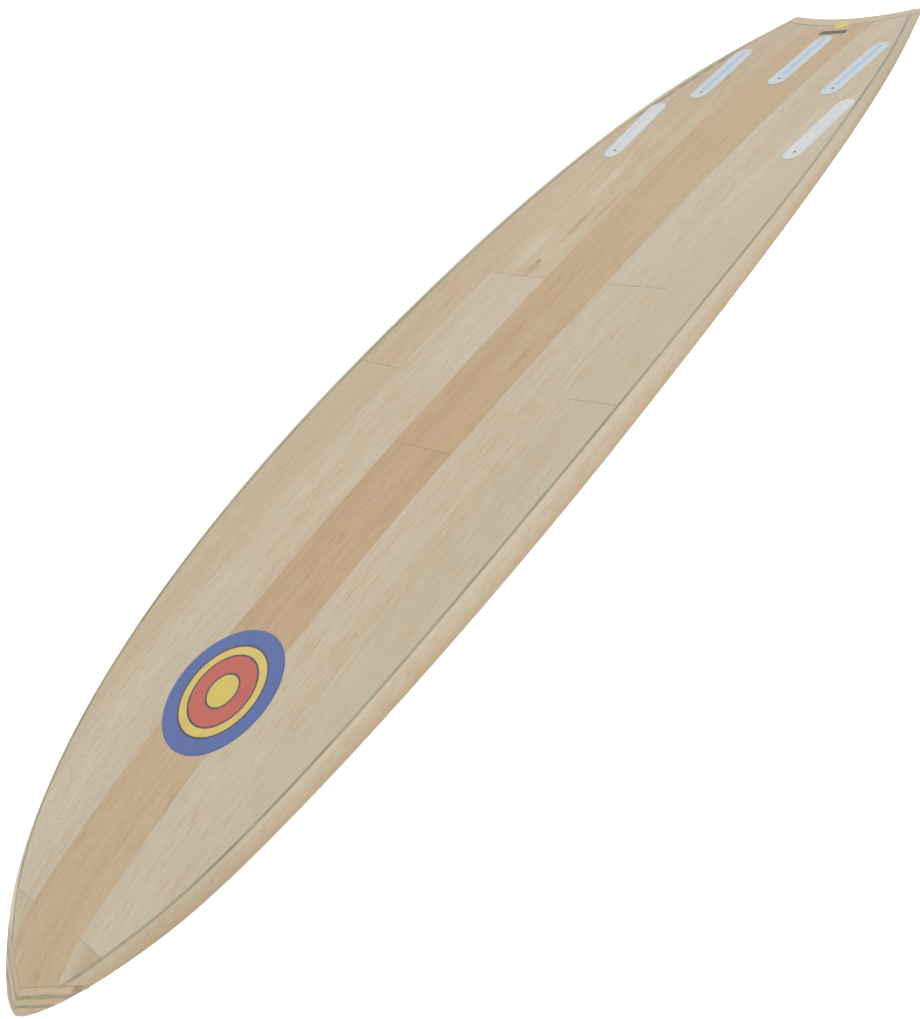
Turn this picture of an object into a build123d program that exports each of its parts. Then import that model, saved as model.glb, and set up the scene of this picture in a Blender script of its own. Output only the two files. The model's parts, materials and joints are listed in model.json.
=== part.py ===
from build123d import *
import math
import os
import numpy as np

# Wooden sandwich surfboard with a foam core, laid bottom up.  Millimetres.
# X: across the board, right (+).  Y: nose (-) to tail (+).  Z: up, out of the bottom skin.
# The origin is the middle of the board's footprint, on the ground.
# A station s grows along Y from the nose to the tail; the tables are given against it.
SIDES = ((1, "right"), (-1, "left"))

# ---- overall ----
S_TIP = 3.4                # nose tip
S_TAIL = 1881.2            # tail tips
S_MID = (S_TIP + S_TAIL) / 2
LIFT = 101.1649            # raises the lowest points of the deck side to z = 0
TILT = 0.008964            # slope that puts nose and tail on the same level
S_ROUND = 15.8             # the rounded nose end in plan joins the width table here
NOSE_TAPER = 12.0          # length over which the nose end is rounded in profile

# ---- skins, core and rail glue lines ----
PLANK_T = 3.5              # thickness of the skin planks
CORE_DEPTH = PLANK_T + 0.1     # core surface below the board's surface
GAP = 0.05                 # half of the joint gap between neighbouring pieces
CENTRE_HALF = 57.7         # half width of the centre plank
INNER_EDGE = 170.1         # boundary between inner and outer planks
OUTER_LIMIT = 320          # beyond the outer planks
S_JOINT_CENTRE = 831.6     # butt joint of the centre plank
S_JOINT_OUTER = 953.6      # butt joint of the outer planks
S_JOINT_NOSE = 109.0       # foremost butt joint of the inner planks
S_JOINT_INNER = 1166.8     # main butt joint of the inner planks
GLUE_HALF = 2.3            # half of the width of the rail glue line
GLUE_SHIFT = 1.0           # moves the glue line outwards from its table
WALL_GAP = 0.08            # gap on each side of the rail glue line
S_GLUE = 31.7              # ahead of it the glue line follows the rail apex in proportion

# ---- mitred nose pieces: stations on the centreline ----
V_SLOPE = 0.485            # slope of the mitre
S_STRIP_BACK = 29.4        # back of the inner nose strips
NOSE_GLUE = {              # glue line behind each layer's front: (its back, its front)
    "inner": (20.4, 17.2),
    "outer": (10.2, 7.4),
}

# ---- concave tail ----
TAIL_DIP = 16.85           # depth of the concave tail
TAIL_HALF = 118.1          # half distance between the tail tips
S_TAIL_GLUE = 1841.6       # middle of the tail glue line, on the centreline
TAIL_GLUE_DIP = 17.3       # its concavity
TAIL_GLUE_HALF = 111.7     # half width at which it has that concavity
TAIL_GLUE_W = 3.2          # its width
TAIL_GLUE_TRIM = 0.1       # takes its ends in from the outside of the rail glue lines
RAIL_TAIL_GAP = 0.06       # between the rails and the tail strip

# ---- fin boxes: lengths from the screw, depths from the face ----
BOX_NOSE = 18.1            # to the rounded nose end
BOX_TAIL = 133.4           # to the rounded tail end
BOX_W = 31.8               # flange width
BOX_FLANGE = 2.4           # flange thickness
BODY_INSET = 4.0           # flange overhang around the body
BODY_LAP = 0.5             # body's overlap into the flange
BOX_DEPTH = 16.0
SLOT_START, SLOT_END = 7.5, 123.4
SLOT_W = 6.8
SLOT_DEPTH = 12.5
SLOT_CORNER_R = 1.5
SLOT_OVERSHOOT = 1.0       # slot cutter above the face
SCREW_TILT = 40.0          # degrees from the face normal
SCREW_R = 2.5
SCREW_L = 8.0
SCREW_START = 2.2          # the screw's head below the mouth, along the bore
SCREW_CHAMFER = 0.4        # at the inner end
HEX_R = 1.5                # hexagonal socket, to its corners
HEX_DEPTH = 2.55
HEX_OVERSHOOT = 0.05
BORE_R = 2.55
BORE_START, BORE_END = -4.0, 15.2      # along the screw axis
FIN_BOXES = {"centre": (0.0, 1671.7, 0.0)}     # (x, s of the screw, toe in radians)
for row, row_x, row_s, row_toe in (("rear", 123.0, 1634.6, 0.030),
                                   ("front", 169.9, 1469.0, 0.048)):
    for side, side_name in SIDES:
        FIN_BOXES[f"{row}_{side_name}"] = (side * row_x, row_s, side * row_toe)

# ---- leash plug, in the deck ----
LEASH_X, LEASH_S = 45.0, 1785.0
LEASH_R = 14.0
LEASH_DEPTH = 15.0
LEASH_WALL = 2.5
LEASH_OVERSHOOT = 2.0      # hollow's cutter outside the mouth
BAR_R = 2.0
BAR_INSET = 5.0            # bar axis from the mouth
BAR_L = 2 * LEASH_R - 2.4
BAR_HOLE_R = BAR_R + 0.05
BAR_HOLE_L = 2 * LEASH_R - 2

POCKET_GAP = 0.1           # clearance around the fin boxes and the leash plug
POCKET_RISE = 8            # pocket cutters outside the board's surface

# ---- extents of the cutting blocks, all beyond the board ----
BLOCK_X = 330.0
BLOCK_LOW, BLOCK_HIGH = -60.0, 220.0   # z
NOSE_SPAN = (-60, 400)                 # stations
PLANK_SPAN = (-20, 2000)
TAIL_SPAN = (1700, 1900)
S_BEHIND = 2200

# ---- rail section ----
ROUND_HANDLE = 0.5523      # handle length that makes a cubic a quarter ellipse
RAIL_FULLNESS = [          # deck side handles: (s, at the apex, at the glue line)
    (0, ROUND_HANDLE, ROUND_HANDLE), (900, ROUND_HANDLE, ROUND_HANDLE), (1320, 0.40, 0.48),
    (1470, 0.25, 0.42), (1600, 0.16, 0.38), (1900, 0.16, 0.38)]
APEX_LIMIT = 0.46          # greatest apex height, as a share of the glue line thickness
MIN_CURVE_HALF = 24.0      # least half width used to work out the surface curvature

# ---- stations of the lofts ----
BOARD_STATIONS = [
    24, 31.7, 41.6, 48, 56.5, 63, 71.3, 80, 91.1, 102, 115.9, 128, 140.7, 160, 180.3, 204,
    229.8, 279.3, 328, 378.4, 477.4, 576.5, 725.1, 873.6, 1022.2, 1170.8, 1319.4, 1395,
    1467.9, 1545, 1616.5, 1668, 1715.6, 1765.1, 1790, 1814.6, 1835, 1854.2, 1870, 1885, 1900]
NOSE_STATIONS = [S_TIP + step for step in (0.02, 0.3, 1.0, 2.2, 4.0, 6.5, 9.0)] + [
    15.8, 21.8, 31.7, 41.6, 56.5, 71.3, 91.1, 115.9]
TAIL_STATIONS = [1790, 1800, 1814.6, 1825, 1835, 1845, 1854.2, 1862, 1870, 1879.9, 1888, 1900]


def spline(table):
    """Natural cubic spline through (station, value) pairs."""
    x, y = np.array(table, float).T
    count = len(x)
    step = np.diff(x)
    matrix = np.zeros((count, count))
    right = np.zeros(count)
    matrix[0, 0] = matrix[-1, -1] = 1.0
    for i in range(1, count - 1):
        matrix[i, i - 1:i + 2] = step[i - 1], 2 * (step[i - 1] + step[i]), step[i]
        right[i] = 6 * ((y[i + 1] - y[i]) / step[i] - (y[i] - y[i - 1]) / step[i - 1])
    bend = np.linalg.solve(matrix, right)

    def value(s):
        i = int(np.clip(np.searchsorted(x, s) - 1, 0, count - 2))
        after, before, h = x[i + 1] - s, s - x[i], step[i]
        return float((bend[i] * after ** 3 + bend[i + 1] * before ** 3) / (6 * h)
                     + (y[i] / h - bend[i] * h / 6) * after
                     + (y[i + 1] / h - bend[i + 1] * h / 6) * before)
    return value


# ---- shape tables: (station, value) ----
apex_table = spline([      # half width at the rail apex
    (15.8, 28.69), (21.8, 38.52), (31.7, 51.79), (41.6, 63.53), (56.5, 79.28), (71.3, 93.59),
    (91.1, 110.58), (115.9, 128.73), (140.7, 143.82), (180.3, 164.29), (229.8, 185.61),
    (279.3, 203.79), (378.4, 231.01), (477.4, 248.96), (576.5, 260.82), (725.1, 272.71),
    (873.6, 276.48), (1022.2, 272.89), (1170.8, 266.03), (1319.4, 253.27), (1467.9, 234.02),
    (1616.5, 206.57), (1715.6, 178.43), (1765.1, 162.32), (1814.6, 144.83), (1854.2, 129.67),
    (1879.9, 118.78), (1900, 105.3)])
glue_table = spline([      # half width at the rail glue line
    (24, 20.4), (31.7, 29.7), (41.6, 41.9), (56.5, 58.4), (71.3, 73.15), (91.1, 90.7),
    (115.9, 110.1), (140.7, 127.2), (180.3, 150.1), (229.8, 172.5), (279.3, 190.35),
    (378.4, 216.25), (477.4, 233.8), (576.5, 245.2), (725.1, 253.7), (873.6, 255.4),
    (1022.2, 252.5), (1170.8, 245.4), (1319.4, 234.4), (1467.9, 216.3), (1616.5, 188.0),
    (1715.6, 163.1), (1765.1, 147.2), (1814.6, 128.8), (1854.2, 113.2), (1879.9, 102.9),
    (1900, 94.9)])
rocker_table = spline([    # height of the bottom on the centreline
    (0, -95.15), (9.9, -89.84), (21.8, -83.97), (41.6, -75.29), (71.3, -64.6),
    (115.9, -52.71), (180.3, -41.06), (279.3, -27.71), (378.4, -17.72), (477.4, -10.47),
    (576.5, -5.38), (725.1, -1.08), (873.6, 0.0), (1022.2, -1.39), (1170.8, -5.15),
    (1319.4, -11.37), (1467.9, -20.35), (1616.5, -32.76), (1715.6, -43.68),
    (1765.1, -50.27), (1814.6, -57.58), (1854.2, -63.73), (1879.9, -67.78), (1900, -70.95)])
edge_drop = spline([       # drop of the bottom from centreline to glue line (negative: concave)
    (0, 1.0), (21.8, 3.2), (56.5, 5.4), (115.9, 4.4), (180.3, 2.9), (279.3, 0.8),
    (378.4, -1.1), (477.4, -2.8), (576.5, -4.2), (725.1, -5.6), (873.6, -6.1),
    (1022.2, -6.1), (1170.8, -6.0), (1319.4, -5.8), (1467.9, -5.35), (1616.5, -4.6),
    (1715.6, -4.0), (1814.6, -3.1), (1900, -2.2)])
centre_thickness = spline([
    (0, 10), (31, 15.5), (71, 21.5), (140, 31), (305, 46), (600, 61), (900, 67), (1080, 68),
    (1380, 60.5), (1580, 48), (1730, 35), (1800, 28), (1850, 21.5), (1880, 16.5), (1900, 14.5)])
glue_thickness = spline([
    (0, 9.8), (31, 9.6), (71, 13.13), (140, 21.57), (305, 27.46), (600, 32.86), (940, 31.65),
    (1380, 25.83), (1580, 22.8), (1730, 19.62), (1800, 17.49), (1850, 15.2), (1880, 14.8),
    (1900, 14.39)])
apex_depth_table = spline([    # bottom at the glue line to the rail apex
    (0, 2.4), (21.8, 3.0), (41.6, 4.2), (71.3, 6.6), (115.9, 9.6), (180.3, 12.2),
    (279.3, 13.2), (477.4, 14.55), (725.1, 15.4), (873.6, 15.4), (1022.2, 14.0),
    (1170.8, 11.0), (1319.4, 7.6), (1467.9, 5.0), (1616.5, 3.6), (1715.6, 3.0),
    (1814.6, 2.6), (1900, 2.4)])


# ---- board surface ----
def apex_half(s):
    """Table, and ahead of it a power curve with the same width and slope at the join."""
    if s >= S_ROUND:
        return apex_table(s)
    width, length = apex_table(S_ROUND), S_ROUND - S_TIP
    slope = (apex_table(S_ROUND + 0.01) - width) / 0.01
    return width * ((s - S_TIP) / length) ** (slope * length / width)


def glue_half(s):
    if s >= S_GLUE:
        return glue_table(s) + GLUE_SHIFT
    return apex_half(s) * (glue_table(S_GLUE) + GLUE_SHIFT) / apex_table(S_GLUE)


def apex_depth(s):
    return min(apex_depth_table(s), APEX_LIMIT * glue_thickness(s))


def centre_z(s):
    return rocker_table(s) + LIFT - TILT * s


def bottom_curve(s):
    return edge_drop(s) / max(glue_half(s), MIN_CURVE_HALF) ** 2


def bottom(x, s):
    return centre_z(s) - bottom_curve(s) * x * x


def deck(x, s):
    rise = centre_thickness(s) - glue_thickness(s) - edge_drop(s)
    curve = rise / max(glue_half(s), MIN_CURVE_HALF) ** 2
    return centre_z(s) - centre_thickness(s) + curve * x * x


def nose_taper(s):
    """Thins the nose to a rounded end over its first millimetres."""
    share = (s - S_TIP) / NOSE_TAPER
    return math.sqrt(1 - (1 - share) ** 2) if share < 1 else 1.0


# ---- curves across the board ----
def point(x, s, z):
    return (x, s - S_MID, z)


def bezier(poles, s, side=1):
    """Edge at a station through (x, z) control points, mirrored for side -1."""
    return Edge.make_bezier(*[point(side * float(x), s, float(z)) for x, z in poles])


def surface_edge(x1, x2, s, surface, dz=0.0):
    """Part of a surface's parabola across the board, as an exact quadratic curve."""
    z0 = surface(0.0, s)
    curve = z0 - surface(1.0, s)
    return bezier([(x1, z0 - curve * x1 * x1 + dz),
                   ((x1 + x2) / 2, z0 - curve * x1 * x2 + dz),
                   (x2, z0 - curve * x2 * x2 + dz)], s)


def joining_line(first, second):
    return Edge.make_line(first @ 1, second @ 0)


def rail_curves(s):
    """Control points of the rail from the glue line round the apex: bottom side, deck side."""
    inside, outside = glue_half(s), apex_half(s)
    z_bottom, z_deck = bottom(inside, s), deck(inside, s)
    z_apex = z_bottom - apex_depth(s)
    width = outside - inside
    stations, at_apex, at_glue = zip(*RAIL_FULLNESS)
    apex_handle = np.interp(s, stations, at_apex)
    glue_handle = np.interp(s, stations, at_glue)
    drop = -2 * bottom_curve(s) * inside * ROUND_HANDLE * width
    rise = (deck(inside + 0.5, s) - deck(inside - 0.5, s)) * glue_handle * width
    bottom_side = [(inside, z_bottom),
                   (inside + ROUND_HANDLE * width, z_bottom + drop),
                   (outside, z_apex + ROUND_HANDLE * (z_bottom - z_apex)),
                   (outside, z_apex)]
    deck_side = [(outside, z_apex),
                 (outside, z_apex - apex_handle * (z_apex - z_deck)),
                 (inside + glue_handle * width, z_deck + rise),
                 (inside, z_deck)]
    return bottom_side, deck_side


def parameter_at(poles, x):
    """Parameter at which a cubic reaches x, by bisection."""
    x0, x1, x2, x3 = [pole[0] for pole in poles]
    low, high = 0.0, 1.0
    for _ in range(60):
        t = 0.5 * (low + high)
        reached = ((1 - t) ** 3 * x0 + 3 * t * (1 - t) ** 2 * x1
                   + 3 * t * t * (1 - t) * x2 + t ** 3 * x3)
        if (reached < x) == (x3 > x0):
            low = t
        else:
            high = t
    return 0.5 * (low + high)


def split_at(poles, x):
    """De Casteljau: the two parts of a cubic, split where it reaches x."""
    t = parameter_at(poles, x)
    levels = [[np.array(pole, float) for pole in poles]]
    while len(levels[-1]) > 1:
        last = levels[-1]
        levels.append([a * (1 - t) + b * t for a, b in zip(last, last[1:])])
    return [level[0] for level in levels], [level[-1] for level in levels[::-1]]


# ---- cross sections ----
def hull_wire(s):
    """Whole cross section: bottom, right rail, deck, left rail."""
    middle = 0.5 * (bottom(0, s) + deck(0, s))
    thinning = nose_taper(s)

    def thin(z):
        return middle + (z - middle) * thinning
    low_rail, high_rail = [[(x, thin(z)) for x, z in poles] for poles in rail_curves(s)]
    z_bottom, z_deck = thin(bottom(0, s)), thin(deck(0, s))
    x_glue, z_low = low_rail[0]
    z_high = high_rail[3][1]
    return Wire([
        bezier([(-x_glue, z_low), (0, 2 * z_bottom - z_low), (x_glue, z_low)], s),
        bezier(low_rail, s),
        bezier(high_rail, s),
        bezier([(x_glue, z_high), (0, 2 * z_deck - z_high), (-x_glue, z_high)], s),
        bezier(high_rail[::-1], s, -1),
        bezier(low_rail[::-1], s, -1),
    ])


def rail_wire(s, side):
    """The rail outside the glue line, with an upright inner wall."""
    x_wall = glue_half(s) + GLUE_HALF + WALL_GAP
    bottom_side, deck_side = rail_curves(s)
    first = bezier(split_at(bottom_side, x_wall)[1], s, side)
    second = bezier(split_at(deck_side, x_wall)[0], s, side)
    return Wire([first, second, joining_line(second, first)])


def glue_wire(s, side):
    """The rail glue line, from the skins' side into the rail curves."""
    middle = glue_half(s)
    inside, outside = middle - GLUE_HALF, middle + GLUE_HALF
    bottom_side, deck_side = rail_curves(s)
    edges = [surface_edge(side * inside, side * middle, s, bottom),
             bezier(split_at(bottom_side, outside)[0], s, side),
             bezier(split_at(deck_side, outside)[1], s, side),
             surface_edge(side * middle, side * inside, s, deck)]
    edges.insert(2, joining_line(edges[1], edges[2]))
    return Wire(edges + [joining_line(edges[-1], edges[0])])


def slab_wire(s, top, top_dz, low, low_dz):
    """Between two offset surfaces, inside the rail glue lines."""
    half = glue_half(s) - GLUE_HALF - WALL_GAP
    top_edge = surface_edge(-half, half, s, top, top_dz)
    low_edge = surface_edge(half, -half, s, low, low_dz)
    return Wire([top_edge, joining_line(top_edge, low_edge),
                 low_edge, joining_line(low_edge, top_edge)])


# ---- solids and cutting blocks ----
def loft_of(wires):
    return Solid.make_loft(wires, False)


def solid_of(shape):
    """The largest solid of a result."""
    return max(shape.solids(), key=lambda solid: solid.volume)


def cut(shape, *tools):
    for tool in tools:
        shape = solid_of(shape - tool)
    return shape


def common(first, second):
    return solid_of(first & second)


def upright(wire):
    return Solid.extrude(Face(wire), Vector(0, 0, BLOCK_HIGH - BLOCK_LOW))


def prism(corners):
    """Upright block on a plan polygon of (x, s) corners."""
    corners = [Vector(*point(x, s, BLOCK_LOW)) for x, s in corners]
    return upright(Wire.make_polygon(corners, close=True))


def rectangle(x1, x2, s1, s2):
    return prism([(x1, s1), (x2, s1), (x2, s2), (x1, s2)])


def v_block(s_centre, s_far):
    """Block between a V line through s_centre on the centreline and station s_far."""
    s_side = s_centre + V_SLOPE * BLOCK_X
    return prism([(0, s_centre), (BLOCK_X, s_side), (BLOCK_X, s_far),
                  (-BLOCK_X, s_far), (-BLOCK_X, s_side)])


def ahead_of_v(s):
    return v_block(s, NOSE_SPAN[0])


def behind_v(s):
    return v_block(s, NOSE_SPAN[1])


def behind_parabola(s_centre, dip, half):
    """Upright block behind the parabola s = s_centre + dip (x / half)^2."""
    s_side = s_centre + dip * (BLOCK_X / half) ** 2
    plan = [(BLOCK_X, s_side), (BLOCK_X, S_BEHIND), (-BLOCK_X, S_BEHIND), (-BLOCK_X, s_side)]
    corners = [point(x, s, BLOCK_LOW) for x, s in plan]
    curve = Edge.make_bezier(corners[3], point(0, 2 * s_centre - s_side, BLOCK_LOW), corners[0])
    lines = [Edge.make_line(start, end) for start, end in zip(corners, corners[1:])]
    return upright(Wire([curve] + lines))


def behind_tail_glue(offset_s):
    """Block behind the tail glue line's middle, moved back by offset_s."""
    return behind_parabola(S_TAIL_GLUE + offset_s, TAIL_GLUE_DIP, TAIL_GLUE_HALF)


def cylinder_between(radius, z1, z2):
    return Pos(0, 0, (z1 + z2) / 2) * Cylinder(radius, z2 - z1)


# ---- fin boxes ----
def box_plane(x, s, toe):
    """Plane of a fin box face; its x axis runs from the screw to the tail."""
    to_middle = 0.5 * (BOX_TAIL - BOX_NOSE)
    x_mid, s_mid = x + to_middle * math.sin(toe), s + to_middle * math.cos(toe)
    slope_x = (bottom(x_mid + 1, s_mid) - bottom(x_mid - 1, s_mid)) / 2
    slope_s = (bottom(x_mid, s_mid + 1) - bottom(x_mid, s_mid - 1)) / 2
    normal = Vector(-slope_x, -slope_s, 1).normalized()
    along = Vector(math.sin(toe), math.cos(toe), 0)
    along = (along - normal * along.dot(normal)).normalized()
    middle = Vector(*point(x_mid, s_mid, bottom(x_mid, s_mid)))
    return Plane(origin=middle - along * to_middle, x_dir=along, z_dir=normal)


def capsule(place, inset, z1, z2):
    """Round-ended block on the flange outline, taken in by inset."""
    start, end = -BOX_NOSE + inset, BOX_TAIL - inset
    outline = SlotOverall(end - start, BOX_W - 2 * inset)
    return place * extrude(Pos((start + end) / 2, 0, z1) * outline, z2 - z1)


def flange_and_body(place, gap, flange_top, body_top):
    return (capsule(place, -gap, -BOX_FLANGE - gap, flange_top)
            + capsule(place, BODY_INSET - gap, -BOX_DEPTH - gap, body_top))


def screw_axis(place):
    """Down into the box, leaning towards the tail."""
    return place * Rotation(0, 180 - SCREW_TILT, 0)


def fin_box(place):
    slot = place * Pos((SLOT_START + SLOT_END) / 2, 0, -SLOT_DEPTH) * extrude(
        RectangleRounded(SLOT_END - SLOT_START, SLOT_W, SLOT_CORNER_R),
        SLOT_DEPTH + SLOT_OVERSHOOT)
    bore = screw_axis(place) * cylinder_between(BORE_R, BORE_START, BORE_END)
    return solid_of(flange_and_body(place, 0, 0, -BOX_FLANGE + BODY_LAP) - slot - bore)


def fin_screw(place):
    """Grub screw with a hexagonal socket and a chamfered inner end."""
    socket = Pos(0, 0, -SCREW_L / 2 - HEX_OVERSHOOT) * extrude(
        RegularPolygon(HEX_R, 6), HEX_DEPTH + HEX_OVERSHOOT)
    height = 4 * SCREW_CHAMFER
    chamfer_ring = Cylinder(SCREW_R + 1, height) - Cone(
        SCREW_R + SCREW_CHAMFER, SCREW_R - 3 * SCREW_CHAMFER, height)
    screw = Cylinder(SCREW_R, SCREW_L) - socket
    screw = screw - Pos(0, 0, SCREW_L / 2) * chamfer_ring
    return solid_of(screw_axis(place) * Pos(0, 0, SCREW_START + SCREW_L / 2) * screw)


def fin_pocket(place):
    return solid_of(flange_and_body(place, POCKET_GAP, POCKET_RISE, 0))


# ---- leash plug ----
def leash_plug():
    """Cup, bar and pocket, opening downwards out of the deck."""
    place = Location(point(LEASH_X, LEASH_S, deck(LEASH_X, LEASH_S)))
    across = Pos(0, 0, BAR_INSET) * Rotation(0, 90, 0)
    cup = cylinder_between(LEASH_R, 0, LEASH_DEPTH)
    cup = cup - cylinder_between(LEASH_R - LEASH_WALL, -LEASH_OVERSHOOT,
                                 LEASH_DEPTH - LEASH_WALL)
    cup = cup - across * Cylinder(BAR_HOLE_R, BAR_HOLE_L)
    bar = across * Cylinder(BAR_R, BAR_L)
    pocket = cylinder_between(LEASH_R + POCKET_GAP, -POCKET_RISE, LEASH_DEPTH + POCKET_GAP)
    return [solid_of(place * shape) for shape in (cup, bar, pocket)]


# ---- core, skins and rails ----
def board_slab(top, top_dz, low, low_dz):
    slab = loft_of([slab_wire(s, top, top_dz, low, low_dz) for s in BOARD_STATIONS])
    return cut(slab, nose_cut, tail_cut)


def plank(skin, x1, x2, s1=PLANK_SPAN[0], s2=PLANK_SPAN[1]):
    """Part of a skin between two x and two stations, less the joint gap on every side."""
    x1, x2 = sorted((x1, x2))
    return common(skin, rectangle(x1 + GAP, x2 - GAP, s1 + GAP, s2 - GAP))


def bottom_planks(pockets):
    skin = board_slab(bottom, 0.0, bottom, -PLANK_T)
    centre = (-CENTRE_HALF, CENTRE_HALF)
    planks = {
        "centre_fore": plank(skin, *centre, s2=S_JOINT_CENTRE),
        "centre_aft": cut(plank(skin, *centre, s1=S_JOINT_CENTRE), pockets["centre"]),
    }
    for side, name in SIDES:
        inner = (side * CENTRE_HALF, side * INNER_EDGE)
        outer = (side * INNER_EDGE, side * OUTER_LIMIT)
        rear, front = pockets["rear_" + name], pockets["front_" + name]
        planks[f"inner_{name}_nose"] = plank(skin, *inner, s2=S_JOINT_NOSE)
        planks[f"inner_{name}_mid"] = plank(skin, *inner, S_JOINT_NOSE, S_JOINT_INNER)
        planks[f"inner_{name}_aft"] = cut(plank(skin, *inner, s1=S_JOINT_INNER), rear, front)
        planks[f"outer_{name}_fore"] = plank(skin, *outer, s2=S_JOINT_OUTER)
        planks[f"outer_{name}_aft"] = cut(plank(skin, *outer, s1=S_JOINT_OUTER), front)
    return {"bottom_plank_" + name: shape for name, shape in planks.items()}


def deck_planks(leash_pocket):
    skin = board_slab(deck, PLANK_T, deck, 0.0)
    planks = {"deck_plank_centre": plank(skin, -CENTRE_HALF, CENTRE_HALF)}
    for side, name in SIDES:
        planks["deck_plank_inner_" + name] = plank(skin, side * CENTRE_HALF, side * INNER_EDGE)
        planks["deck_plank_outer_" + name] = plank(skin, side * INNER_EDGE, side * OUTER_LIMIT)
    # The leash plug straddles the joint between these two.
    for name in ("deck_plank_centre", "deck_plank_inner_right"):
        planks[name] = cut(planks[name], leash_pocket)
    return planks


def rail(side):
    end = behind_tail_glue(TAIL_GLUE_W / 2 + WALL_GAP - RAIL_TAIL_GAP)
    return cut(loft_of([rail_wire(s, side) for s in BOARD_STATIONS]), nose_cut, end)


def rail_glue_line(side):
    return cut(loft_of([glue_wire(s, side) for s in BOARD_STATIONS]), nose_cut, tail_cut)


# ---- nose and tail pieces ----
def nose_pieces():
    """Two layers of mitred strips, each with a glue line ahead of it, and the tip block."""
    hull = loft_of([hull_wire(s) for s in NOSE_STATIONS])
    halves = {"right": rectangle(GAP, BLOCK_X, *NOSE_SPAN),
              "left": rectangle(-BLOCK_X, -GAP, *NOSE_SPAN)}

    def layer(s_front, s_back):
        return cut(hull, ahead_of_v(s_front + GAP), behind_v(s_back - GAP))
    pieces = {}
    strip_back = S_STRIP_BACK
    for name, (glue_back, glue_front) in NOSE_GLUE.items():
        strip = layer(glue_back, strip_back)
        for side_name, half in halves.items():
            pieces[f"nose_strip_{name}_{side_name}"] = common(strip, half)
        pieces["nose_glue_line_" + name] = layer(glue_front, glue_back)
        strip_back = glue_front
    pieces["nose_tip_block"] = cut(hull, behind_v(strip_back - GAP))
    return pieces


def tail_pieces():
    hull = loft_of([hull_wire(s) for s in TAIL_STATIONS])
    ahead = rectangle(-BLOCK_X, BLOCK_X, *TAIL_SPAN)
    tail_end = behind_parabola(S_TAIL - TAIL_DIP, TAIL_DIP, TAIL_HALF)
    front_of_strip = cut(ahead, behind_tail_glue(TAIL_GLUE_W / 2 + WALL_GAP))
    front_of_glue = cut(ahead, behind_tail_glue(-TAIL_GLUE_W / 2))
    glue = cut(hull, behind_tail_glue(TAIL_GLUE_W / 2), front_of_glue)
    half = (glue_half(S_TAIL_GLUE + TAIL_GLUE_DIP + TAIL_GLUE_W + 1)
            + GLUE_HALF - TAIL_GLUE_TRIM)
    return {"tail_strip": cut(hull, tail_end, front_of_strip),
            "tail_glue_line": common(glue, rectangle(-half, half, *TAIL_SPAN))}


# ---- build ----
nose_cut = ahead_of_v(S_STRIP_BACK + GAP)
tail_cut = behind_tail_glue(-TAIL_GLUE_W / 2 - WALL_GAP)
parts = {}
fin_pockets = {}
for name, position in FIN_BOXES.items():
    place = box_plane(*position).location
    parts["fin_box_" + name] = fin_box(place)
    parts["fin_screw_" + name] = fin_screw(place)
    fin_pockets[name] = fin_pocket(place)
parts["leash_plug_cup"], parts["leash_plug_bar"], leash_pocket = leash_plug()
parts["foam_core"] = cut(board_slab(bottom, -CORE_DEPTH, deck, CORE_DEPTH),
                         *fin_pockets.values(), leash_pocket)
parts.update(bottom_planks(fin_pockets))
parts.update(deck_planks(leash_pocket))
for side, name in SIDES:
    parts["rail_" + name] = rail(side)
    parts["rail_glue_line_" + name] = rail_glue_line(side)
parts.update(nose_pieces())
parts.update(tail_pieces())

os.makedirs("parts", exist_ok=True)
for name, shape in parts.items():
    shape.label = name
    export_step(shape, f"parts/{name}.step")
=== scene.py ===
"""A wooden surfboard with a foam core, lying bottom up on a white floor.

The board runs along Y with its nose towards -Y and its tail towards +Y, the middle at y = 0.
Pieces called left are at -X and those called right at +X; +Z is up, out of the bottom skin.
Lengths are in metres.  Colours are 8-bit display values, made linear by lin().
"""
import bpy
import bmesh
import json
import math
from types import SimpleNamespace
from mathutils import Matrix, Vector
from mathutils.bvhtree import BVHTree


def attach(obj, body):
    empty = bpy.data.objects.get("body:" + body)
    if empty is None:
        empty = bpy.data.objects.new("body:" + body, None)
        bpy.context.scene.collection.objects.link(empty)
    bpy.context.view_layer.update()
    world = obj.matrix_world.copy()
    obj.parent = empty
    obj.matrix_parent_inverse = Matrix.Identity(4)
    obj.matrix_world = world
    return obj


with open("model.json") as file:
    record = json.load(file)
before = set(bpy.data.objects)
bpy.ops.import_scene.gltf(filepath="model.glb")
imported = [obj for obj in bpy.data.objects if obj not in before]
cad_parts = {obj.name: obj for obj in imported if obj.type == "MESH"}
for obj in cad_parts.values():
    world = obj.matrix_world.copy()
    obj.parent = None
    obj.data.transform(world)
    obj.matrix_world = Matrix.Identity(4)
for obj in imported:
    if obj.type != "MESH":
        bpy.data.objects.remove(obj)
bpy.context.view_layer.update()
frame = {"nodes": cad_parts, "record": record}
NODES = frame["nodes"]


scene = bpy.context.scene
scene.view_settings.view_transform = "Standard"
scene.view_settings.look = "None"

HALF_LENGTH = 0.9423


def from_nose(station):
    """The y of a station measured from the nose."""
    return station - HALF_LENGTH


# ---------------------------------------------------------------- shader graphs
def lin(*display):
    """8-bit display colour to linear, with alpha 1."""
    out = []
    for v in display:
        v = v / 255.0
        out.append(v / 12.92 if v <= 0.04045 else ((v + 0.055) / 1.055) ** 2.4)
    return (*out, 1.0)


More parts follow.
